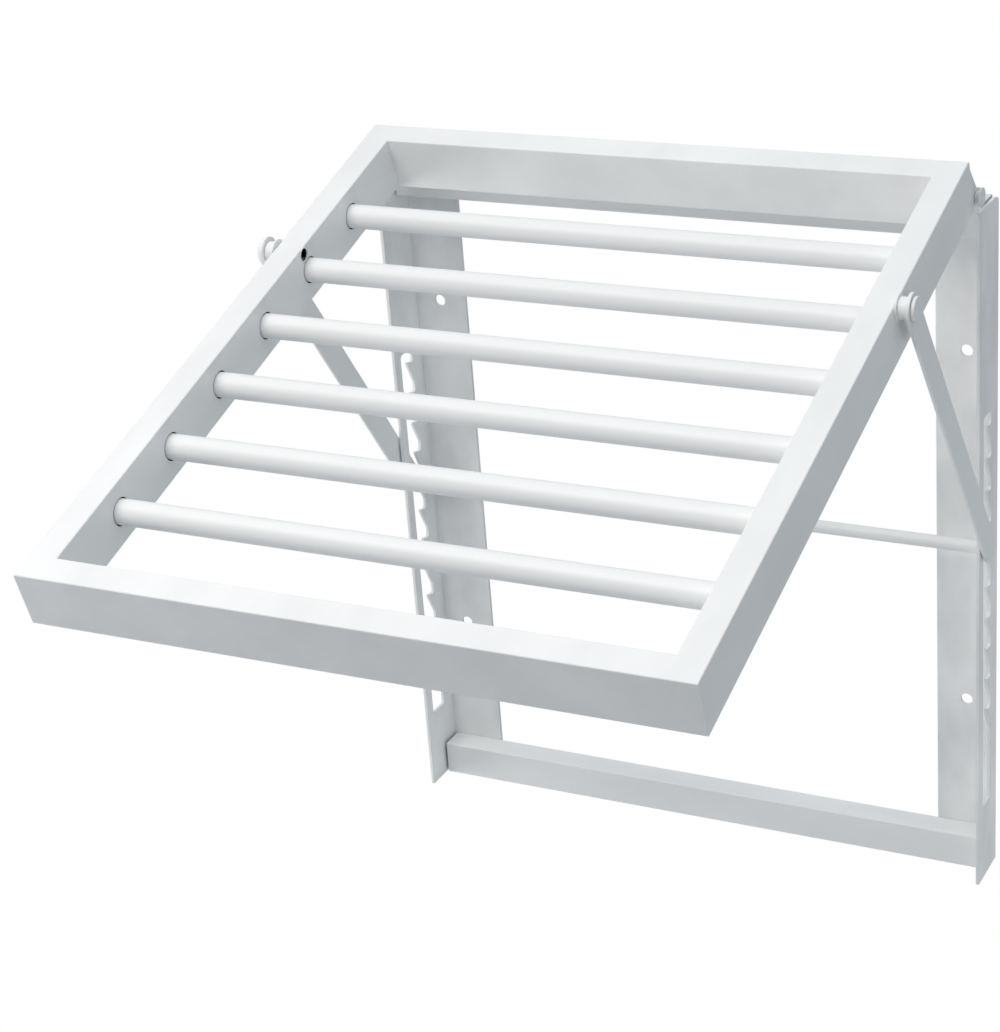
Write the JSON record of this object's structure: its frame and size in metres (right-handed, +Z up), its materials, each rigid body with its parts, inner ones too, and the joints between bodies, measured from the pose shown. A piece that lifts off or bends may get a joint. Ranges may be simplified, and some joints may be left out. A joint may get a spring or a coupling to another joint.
{
  "type": "tie hanger",
  "caption": "Wall-mounted folding tie hanger: a sloping tube frame with round hanging rods, held by a prop whose cross rod sits in notched slots of the wall frame.",
  "frame": {"origin": "centre of the four wall screw holes, on the wall plane", "axes": "+X to the hanger's right seen from the room, +Y into the wall, +Z up"},
  "size_m": [0.4762, 0.5333, 0.5586],
  "materials": {
    "wall_coat": "white powder coat, satin",
    "hinge_coat": "white powder coat, satin",
    "frame_coat": "white powder coat, satin",
    "rod_coat": "white powder coat, satin",
    "pivot_coat": "white powder coat, satin",
    "prop_coat": "white powder coat, satin"
  },
  "bodies": {
    "wall_frame": {"left_upright": "wall_coat", "right_upright": "wall_coat", "wall_top_rail": "wall_coat", "wall_bottom_rail": "wall_coat", "left_hinge_ear": "hinge_coat", "right_hinge_ear": "hinge_coat", "left_hinge_pin": "hinge_coat", "right_hinge_pin": "hinge_coat"},
    "hanging_frame": {"frame_left_rail": "frame_coat", "frame_right_rail": "frame_coat", "frame_front_rail": "frame_coat", "frame_back_rail": "frame_coat", "hanging_rod_1": "rod_coat", "hanging_rod_2": "rod_coat", "hanging_rod_3": "rod_coat", "hanging_rod_4": "rod_coat", "hanging_rod_5": "rod_coat", "hanging_rod_6": "rod_coat", "left_hinge_lug": "hinge_coat", "right_hinge_lug": "hinge_coat", "left_pivot_washer": "pivot_coat", "right_pivot_washer": "pivot_coat", "left_pivot_stud": "pivot_coat", "right_pivot_stud": "pivot_coat"},
    "prop_arms": {"left_prop_arm": "prop_coat", "right_prop_arm": "prop_coat"},
    "cross_rod": {"prop_cross_rod": "prop_coat"}
  },
  "joints": [
    {"name": "frame_fold", "type": "hinge", "parent": "wall_frame", "child": "hanging_frame", "pos_m": [0, -0.0305, 0.2592], "axis": [1, 0, 0], "range_deg": [0, 71.56]},
    {"name": "arm_swing", "type": "hinge", "parent": "hanging_frame", "child": "prop_arms", "pos_m": [0, -0.19694, 0.23822], "axis": [-1, 0, 0], "range_deg": [0, 100.21]},
    {"name": "rod_slide", "type": "slide", "parent": "wall_frame", "child": "cross_rod", "axis": [0, 0, -1], "range_m": [0, 0.19431]}
  ],
  "couplings": [
    {"joint": "arm_swing", "follows": "frame_fold", "ratio": 1.3996},
    {"joint": "rod_slide", "follows": "frame_fold", "m_per_rad": 0.15542}
  ]
}
